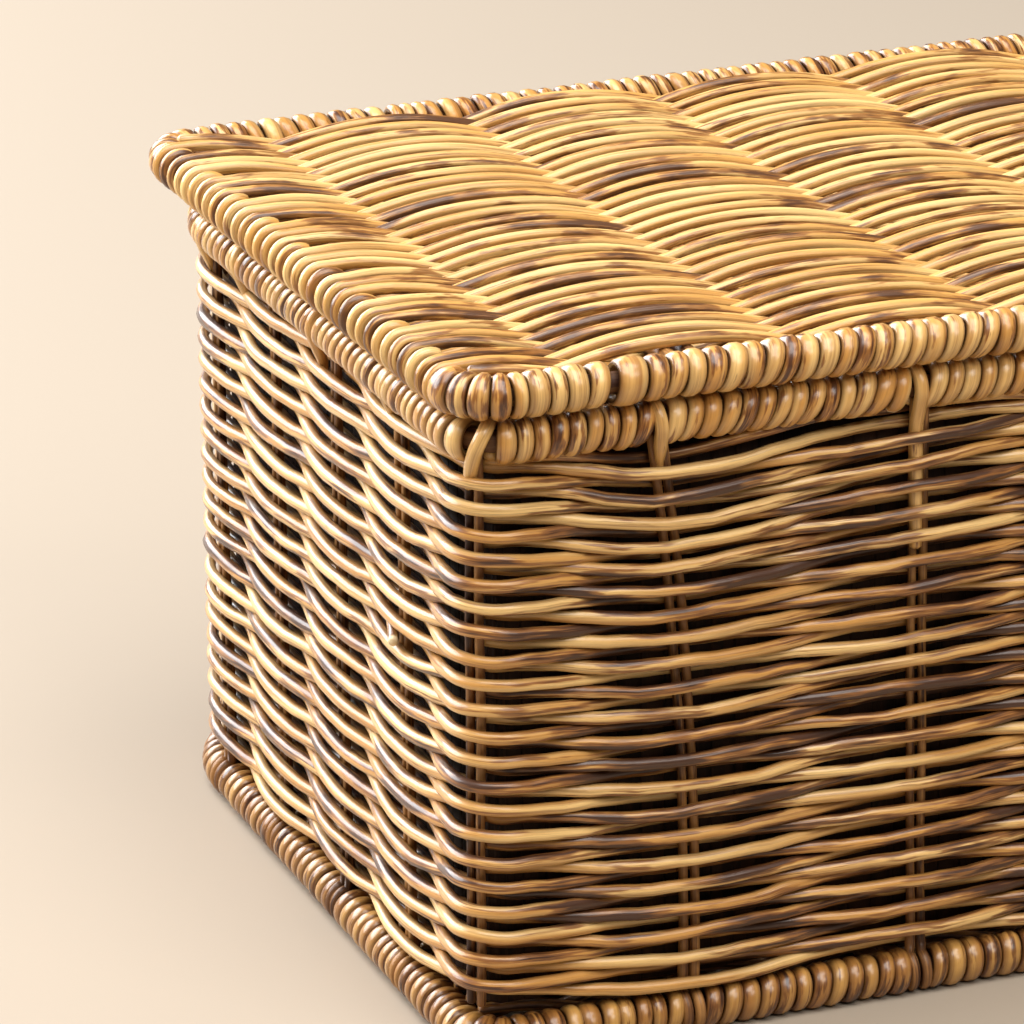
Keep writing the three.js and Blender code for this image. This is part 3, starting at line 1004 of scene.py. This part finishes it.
@dataclass
class Panel:
    """Strands woven along X across pairs of rods, inside a hoop."""

    line: HoopLine
    name: str
    body: Body
    middle: float
    seed: int
    wraps_ends: bool
    pitch: float = 4.3
    radius: float = 1.75
    rod_radius: float = 2.7
    rod_half_gap: float = 3.15
    rod_inset: float = 7.0
    rod_places: tuple[float, ...] = (-125.33, -62.67, 0.0, 62.67, 125.33)
    throw: float = 4.4
    core: float = 3.2
    step: float = 4.2
    inset: float = 8.4
    turn_stop: float = 3.0
    hoop_stop: float = 3.6
    strand_margin: float = 1.5
    turn_margin: float = 2.2
    stub_swell: float = 1.08
    run: float = 400.0
    bring_run: float = 34.0
    climb_run: float = 16.0

    @property
    def reach(self) -> float:
        """Half of the hoop's length."""
        return self.line.length / 2

    @property
    def ring(self) -> float:
        """Radius of the middle line of a strand that bends over the hoop."""
        return self.core + self.radius

    @property
    def side_bend(self) -> float:
        """Distance across at which the hoop's corners start to bend, at the front."""
        return self.line.depth / 2 - self.line.front_bend

    def half_span(self, across: float) -> float:
        """How far a strand reaches from the middle before it meets the hoop's middle line.

        Args:
            across: its place across the panel.

        Returns:
            The distance.
        """
        bend = self.line.back_bend if across > 0 else self.line.front_bend
        into = abs(across) - (self.line.depth / 2 - bend)
        if into <= 0:
            return self.reach
        return self.reach - bend + math.sqrt(max(bend**2 - into**2, 0.0))

    def wave(self, along: np.ndarray, number: int) -> np.ndarray:
        """Height of a strand above the panel's middle plane: even ones pass over the end hoops.

        Args:
            along: places along the strand.
            number: its number from the front.

        Returns:
            One height for each place.
        """
        steps = [-self.reach, *self.rod_places, self.reach]
        wave = np.cos(math.pi * (np.interp(along, steps, np.arange(len(steps))) + number))
        return self.throw * wave * (1.15 - 0.15 * wave**2)

    def end_arc(self, end: int, across: float, angle: np.ndarray) -> np.ndarray:
        """Points of a bend over an end hoop."""
        return arc(np.array([end * self.reach, across, self.line.height]), end * ALONG, self.ring, angle)

    def strand(self, number: int, across: float, ends: dict[int, float]) -> np.ndarray:
        """Middle line of one strand.

        Args:
            number: its number from the front.
            across: its place across the panel.
            ends: place across of its turn over each end hoop, by the end's sign, where it has one.

        Returns:
            The points.
        """
        span = self.half_span(across)
        stops = {end: (self.reach - self.turn_stop if end in ends else span - self.hoop_stop) for end in ENDS}
        along = np.linspace(-stops[-1], stops[1], int((stops[-1] + stops[1]) / self.step))
        drift = Wander(self.seed + number, self.run, (3, 5, 8)).at(along + self.run / 2)
        height = self.middle + self.wave(along, number) + 0.12 * drift
        place = across + 0.28 * drift
        for end, turn in ends.items():
            left = self.reach - end * along
            place = place + (turn - across) * smooth(np.clip(1 - left / self.bring_run, 0, 1))
            climb = smooth(np.clip(1 - left / self.climb_run, 0, 1))
            height = height + (self.line.height + self.ring - height) * climb
        points = np.stack([along, place, height], -1)
        over = np.radians(np.linspace(-75, 85, 13))
        if -1 in ends:
            points = np.concatenate([self.end_arc(-1, ends[-1], over), points])
        if 1 in ends:
            points = np.concatenate([points, self.end_arc(1, ends[1], over)[::-1]])
        return points

    def end_turns(self, strands: list[int], across: dict[int, float]) -> tuple[dict[int, float], list[float]]:
        """Shares the places along an end hoop among the strands that pass over it and short stub turns.

        Args:
            strands: numbers of the strands that pass over the hoop.
            across: place across of every strand.

        Returns:
            The place of each strand's turn, and the places of the stubs.
        """
        queue = [number for number in strands if abs(across[number]) < self.side_bend - self.strand_margin]
        turns: dict[int, float] = {}
        stubs: list[float] = []
        edge = self.side_bend - self.turn_margin
        for slot, place in enumerate(np.linspace(-edge, edge, len(queue) + len(queue) // 3)):
            if slot % 4 == 2 or not queue:
                stubs.append(float(place))
            else:
                turns[queue.pop(0)] = float(place)
        return turns, stubs

    def stub(self, end: int, across: float, bundle: CaneBundle) -> None:
        """Adds a short turn that ends on top of an end hoop.

        Args:
            end: the end's sign.
            across: its place across the panel.
            bundle: the bundle that takes it.
        """
        points = self.end_arc(end, across, np.radians(np.linspace(-80, bundle.rng.uniform(118, 138), 17)))
        points[:, 1] += np.linspace(0, 1, len(points)) * bundle.rng.uniform(-0.8, 0.8)
        bundle.add(points, self.radius * self.stub_swell, across=ACROSS)

    def build(self, finishes: Finishes, skin: bpy.types.Material, node: str, rods: str) -> None:
        """Makes the strands and the rods.

        Args:
            finishes: the box's finishes.
            skin: material of the strands.
            node: CAD node of the panel.
            rods: first part of the names of its rods.
        """
        bundle = CaneBundle(f"{self.name}_strands", self.seed)
        inside = self.line.depth / 2 - self.inset
        count = int(2 * inside / self.pitch) // 2 * 2 + 1
        across = {number: -inside + 2 * inside * number / (count - 1) for number in range(count)}
        turns: dict[int, dict[int, float]] = {-1: {}, 1: {}}
        if self.wraps_ends:
            for end in ENDS:
                turns[end], stubs = self.end_turns(list(range(0, count, 2)), across)
                for place in stubs:
                    self.stub(end, place, bundle)
        for number, place in across.items():
            points = self.strand(number, place, {end: turns[end][number] for end in ENDS if number in turns[end]})
            swell = Wander(self.seed + 700 + number, self.run, (2, 3, 5)).at(points[:, 0] + self.run / 2)
            bundle.add(points, self.radius * bundle.rng.uniform(0.96, 1.07) * (1 + 0.05 * swell), across=ACROSS)
        settle(bundle.build(skin), self.body, Slot.WEAVE, node)
        pairs = CaneBundle(f"{self.name}_rods", self.seed + 1)
        half = self.line.depth / 2 - self.rod_inset
        y = np.linspace(-half, half, 12)
        for place in self.rod_places:
            for leg in ENDS:
                x = np.full_like(y, place + leg * self.rod_half_gap)
                pairs.add(np.stack([x, y, np.full_like(y, self.middle)], -1), self.rod_radius)
        settle(pairs.build(finishes.stake), self.body, Slot.STAKE,
               *[f"{rods}_{number}" for number in range(1, len(self.rod_places) + 1)])


@dataclass
class Hinge:
    """Loops of cane round both back hoops."""

    body_line: HoopLine
    lid_line: HoopLine
    spread: float = 220.0
    turns: int = 3
    pitch: float = 3.95
    core: float = 3.2
    thickness: float = 3.0
    play: float = 0.25
    margin: float = 0.5

    def breaks(self, line: HoopLine) -> list[Stretch]:
        """Stretches of a hoop that the loops take up."""
        half = self.turns * self.pitch / 2 + self.margin
        return [(place - half, place + half) for place in (self.spread / 2, line.total - self.spread / 2)]

    def loop(self, x: float) -> np.ndarray:
        """Middle line of one turn: a stadium round both cores.

        Args:
            x: its place along the hoops.

        Returns:
            The points.
        """
        low, high = (np.array([line.depth / 2, line.height]) for line in (self.body_line, self.lid_line))
        lean = math.atan2(high[1] - low[1], high[0] - low[0])
        radius = self.core + self.play + self.thickness / 2
        half = np.linspace(-math.pi / 2, math.pi / 2, 11)
        plan = np.concatenate([centre + radius * np.stack([np.cos(lean + angle), np.sin(lean + angle)], -1)
                               for centre, angle in ((high, half), (low, half + math.pi))])
        return np.c_[np.full(len(plan), x), plan]

    def build(self, finishes: Finishes) -> None:
        """Makes both loops, each as a piece of its own.

        Args:
            finishes: the box's finishes.
        """
        for side, name in ((-0.5, "left"), (0.5, "right")):
            bundle = CaneBundle(f"hinge_turns_{name}", 60)
            for turn in range(self.turns):
                points = self.loop(side * self.spread + (turn - (self.turns - 1) / 2) * self.pitch)
                bundle.add(points, self.thickness / 2, closed=True, centre=points.mean(0), ahead=ALONG,
                           outward=ACROSS, widen=self.pitch / self.thickness)
            settle(bundle.build(finishes.wrap), Body.BOX, Slot.WRAP, f"hinge_loop_{name}")


@dataclass(frozen=True)
class Tail:
    """One end of the top rim's cane, placed against the CAD stake that it belongs to."""

    top: float
    foot: float
    drop: float
    radius: float = 1.9
    tip: float = 0.5


@dataclass
class Tails:
    """Ends of the top rim's cane, brought down over the rim and tucked behind the first courses."""

    line: HoopLine
    stakes: Stakes
    ring: float = 4.9
    depth: float = 0.9
    half_gap: float = 1.9
    tuck_run: float = 9.0
    taper_from: float = 0.55
    cut_place: float = -65.0
    cut_gap: Stretch = (-2.5, 6.0)
    cut_ring: float = 5.1
    cut_thickness: float = 3.3
    cut_width: float = 5.2
    cut_lean: float = 0.3
    seen: dict[str, Tail] = field(default_factory=lambda: {
        "corner_stake_1": Tail(2.6, -2.9, 13.0, 2.2, 0.8),
        "front_stake_1": Tail(-10.7, -9.0, 16.0, 2.0, 0.3),
        "front_stake_2": Tail(3.7, 4.5, 46.0, 2.1, 0.9),
        "left_stake_2": Tail(-7.0, -9.0, 13.0, 2.0, 0.7),
        "left_stake_3": Tail(-21.0, -19.0, 13.0, 2.0, 0.7),
    })

    @property
    def every(self) -> dict[str, Tail]:
        """A tail for each stake, by its name: measured where it is seen, by chance elsewhere."""
        rng = np.random.default_rng(80)
        chance = {name: Tail(*rng.uniform((-3, -3, 10), (3, 3, 13))) for name in self.stakes.names}
        return {**chance, **self.seen}

    @property
    def gaps(self) -> list[Stretch]:
        """Stretches of the hoop where a tail lies instead of a turn."""
        places = {name: float(place) for place, name in self.stakes.order}
        gaps = [(places[name] + min(tail.top, (tail.top + tail.foot) / 2) - self.half_gap,
                 places[name] + tail.top + self.half_gap) for name, tail in self.seen.items()]
        first, last = (self.line.front(self.cut_place) + edge for edge in self.cut_gap)
        return [(first, end) if start < last < end else (start, end) for start, end in gaps]

    def tail(self, bundle: CaneBundle, place: float, tail: Tail) -> None:
        """Adds one tail.

        Args:
            bundle: the bundle that takes it.
            place: distance of its stake along the hoop.
            tail: its shape.
        """
        angle = np.radians(np.linspace(250, -28, 21))
        over = self.ring * np.stack([np.cos(angle), np.sin(angle)], -1)
        fall = np.linspace(0, 1, 13)[1:]
        start = over[-1]
        bend = np.minimum(1.0, (tail.drop + start[1]) * fall / self.tuck_run)
        down = np.stack([start[0] + (self.depth - start[0]) * bend, start[1] + (-tail.drop - start[1]) * fall], -1)
        plan = np.concatenate([over, down])
        past = np.concatenate([angle < math.pi / 2, np.ones(len(fall), bool)])
        share = np.clip((self.ring - plan[:, 1]) / (self.ring + tail.drop), 0, 1) * past
        points = self.line.beside(place + tail.top + (tail.foot - tail.top) * share, plan[:, 0],
                                  self.line.height + plan[:, 1])
        taper = 1 - (1 - tail.tip) * np.clip((share - self.taper_from) / (1 - self.taper_from), 0, 1)
        bundle.add(points, tail.radius * taper, tone=0.0)

    def build(self, finishes: Finishes) -> None:
        """Makes the tails, and a turn with a cut end beside the second one of the front.

        Args:
            finishes: the box's finishes.
        """
        bundle = CaneBundle("rim_tails", 80)
        every = self.every
        for place, name in self.stakes.order:
            self.tail(bundle, float(place), every[name])
        point, outward, ahead = self.line.frame(self.line.front(self.cut_place))
        turn = arc(point, outward, self.cut_ring, np.radians(np.linspace(250, -56, 22)))
        bundle.add(turn, self.cut_thickness / 2, centre=point, ahead=ahead, outward=outward,
                   widen=self.cut_width / self.cut_thickness, lean=self.cut_lean, cut=True)
        settle(bundle.build(finishes.wrap), Body.BOX, Slot.WRAP)


@dataclass
class Slats:
    """Thin upright slats of split cane, side by side, that close the wall on the inside: a guessed lining whose
    near-black colour is painted shade for the dark inside of the box.
    """

    line: HoopLine
    bottom: float = 14.0
    top: float = 176.6
    inset: float = 5.8
    thickness: float = 0.36
    width: float = 7.0
    bend_width: float = 3.2
    lap: float = 1.12
    closing: float = 1.0
    look_ahead: float = 3.0

    def build(self, finishes: Finishes) -> None:
        """Makes the slats all the way round.

        Args:
            finishes: the box's finishes.
        """
        bundle = CaneBundle("inner_slats", 90)
        place = 0.0
        while place < self.line.total - self.closing:
            step = self.bend_width if self.line.tight(place + self.look_ahead) else self.width
            point, outward, ahead = self.line.frame(place + step / 2)
            foot = point - outward * self.inset
            heights = np.linspace(self.bottom, self.top + bundle.rng.uniform(-0.6, 0.0), 4)
            points = np.repeat(foot[None], len(heights), 0)
            points[:, 2] = heights
            bundle.add(points, self.thickness / 2, centre=foot, ahead=ahead, outward=outward,
                       widen=step * self.lap / self.thickness)
            place += step
        settle(bundle.build(finishes.slat), Body.BOX, Slot.CORE)


@dataclass
class Studio:
    """Floor, lights and camera."""

    focal: float = 5580.0
    yaw: float = 21.33
    elevation: float = 19.61
    roll: float = -0.53
    place: tuple[float, float, float] = (-686.6, -1433.3, 658.7)
    picture: float = 1024.0
    sensor: float = 36.0
    floor_levels: Levels = (160, 147, 131)
    floor_radius: float = 14.0
    floor_height: float = -0.0004
    target: tuple[float, float, float] = (0.0, 0.0, 0.1)

    def camera(self) -> None:
        """Sets the camera at the photograph's angle."""
        data = bpy.data.cameras.new("camera")
        data.sensor_width = self.sensor
        data.lens = self.focal / self.picture * self.sensor
        data.clip_start, data.clip_end = 0.05, 60.0
        camera = bpy.data.objects.new("camera", data)
        bpy.context.scene.collection.objects.link(camera)
        yaw, elevation, roll = (math.radians(angle) for angle in (self.yaw, self.elevation, self.roll))
        level = math.cos(elevation)
        ahead = Vector((math.sin(yaw) * level, math.cos(yaw) * level, -math.sin(elevation)))
        right = Vector((math.cos(yaw), -math.sin(yaw), 0.0))
        up = right.cross(ahead)
        across = math.cos(roll) * right + math.sin(roll) * up
        upright = -math.sin(roll) * right + math.cos(roll) * up
        columns = Matrix((across, upright, -ahead)).transposed()
        camera.matrix_world = Matrix.Translation([part * MM for part in self.place]) @ columns.to_4x4()
        bpy.context.scene.camera = camera

    def floor(self) -> None:
        """Lays a plain pale floor."""
        bpy.ops.mesh.primitive_circle_add(vertices=96, radius=self.floor_radius, fill_type="NGON",
                                          location=(0, 0, self.floor_height))
        floor = bpy.context.object
        floor.name = "floor"
        floor.data.materials.append(Graph("pale_floor").principled({
            "Base Color": (*srgb(self.floor_levels), 1.0), "Roughness": 0.7}))

    def lamp(self, name: str, place: tuple[float, float, float], size: tuple[float, float], power: float,
             colour: Colour) -> None:
        """Adds a soft lamp that points at the box.

        Args:
            name: its name.
            place: where it stands, in metres.
            size: its width and height, in metres.
            power: its power, in watts.
            colour: its colour.
        """
        data = bpy.data.lights.new(name, "AREA")
        data.shape = "RECTANGLE"
        data.size, data.size_y = size
        data.energy, data.color = power, colour
        lamp = bpy.data.objects.new(name, data)
        lamp.location = place
        lamp.rotation_euler = (Vector(self.target) - Vector(place)).to_track_quat("-Z", "Y").to_euler()
        bpy.context.scene.collection.objects.link(lamp)

    def light(self) -> None:
        """Lights the box from a wide window at the back left, a soft ceiling and a weak fill."""
        world = bpy.data.worlds.new("sky")
        world.use_nodes = True
        back = world.node_tree.nodes["Background"]
        back.inputs["Color"].default_value = (1.0, 0.98, 0.96, 1.0)
        back.inputs["Strength"].default_value = 0.12
        bpy.context.scene.world = world
        self.lamp("window", (-1.2, 1.6, 1.1), (3.0, 1.4), 126.0, (0.98, 0.985, 1.0))
        self.lamp("ceiling", (-0.3, -0.45, 2.2), (2.0, 2.0), 79.0, (1.0, 0.98, 0.95))
        self.lamp("fill", (0.4, -1.7, 1.7), (1.2, 0.8), 16.5, (1.0, 0.95, 0.88))

    def build(self) -> None:
        """Sets up the whole stage."""
        self.floor()
        self.light()
        self.camera()
        bpy.context.scene.view_settings.view_transform = "Standard"


def clear() -> None:
    """Removes what a new file holds."""
    for thing in list(bpy.data.objects):
        bpy.data.objects.remove(thing)


def lid_rim(line: HoopLine, hinge: Hinge) -> Rim:
    """The rim of the lid, with its bare ends, one gap that shows the core, and a stout turn in the gap.

    Args:
        line: middle line of the lid's hoop.
        hinge: the hinge, whose loops leave breaks in the wrapping.

    Returns:
        The rim.
    """
    ends = [(line.starts[run] + LID_END_MARGIN, line.starts[run + 1] - LID_END_MARGIN) for run in (2, 6)]
    gap = tuple(line.front(edge) for edge in LID_GAP)
    place, width = STOUT_TURN
    return Rim(line, "lid_hoop", Body.LID, 44, pitch=5.5, lean=0.3, skips=[*ends, *hinge.breaks(line), gap],
               stout=[(line.front(place), width)])


def main() -> None:
    """Builds every piece of the box and the stage."""
    logging.basicConfig(level=logging.INFO, format="%(name)s: %(message)s")
    clear()
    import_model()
    finishes = Finishes()
    base = HoopLine(length=376.0, depth=256.0, front_bend=11.0, back_bend=44.0, height=5.505)
    top = HoopLine(length=376.0, depth=256.0, front_bend=11.0, back_bend=44.0, height=179.61)
    lid = HoopLine(length=381.0, depth=261.0, front_bend=13.0, back_bend=13.0, height=192.91)
    stakes = Stakes(base)
    stakes.build(finishes)
    Wall(base, stakes).build(finishes)
    hinge = Hinge(top, lid)
    tails = Tails(top, stakes)
    # The base hoop and the bottom take the darker copy of the golden finish, which is painted shade.
    Rim(base, "base_hoop", Body.BOX, 40, lean=0.22, skips=stakes.gaps).build(
        finishes, finishes.shaded_golden, "base_hoop_wrap")
    Rim(top, "top_hoop", Body.BOX, 42, pitch=5.1, lean=0.38, skips=hinge.breaks(top) + tails.gaps).build(
        finishes, finishes.wrap, "top_hoop_wrap", "top_hoop_wrap_back")
    lid_rim(lid, hinge).build(finishes, finishes.wrap, "lid_hoop_wrap", "lid_hoop_wrap_back")
    Panel(base, "base", Body.BOX, middle=7.505, seed=50, wraps_ends=False).build(
        finishes, finishes.shaded_golden, "base_weave", "base_cross_rod")
    Panel(lid, "lid", Body.LID, middle=193.91, seed=54, wraps_ends=True).build(
        finishes, finishes.lid, "lid_weave", "lid_cross_rod")
    hinge.build(finishes)
    tails.build(finishes)
    Slats(base).build(finishes)
    Studio().build()


if __name__ == "__main__":
    main()
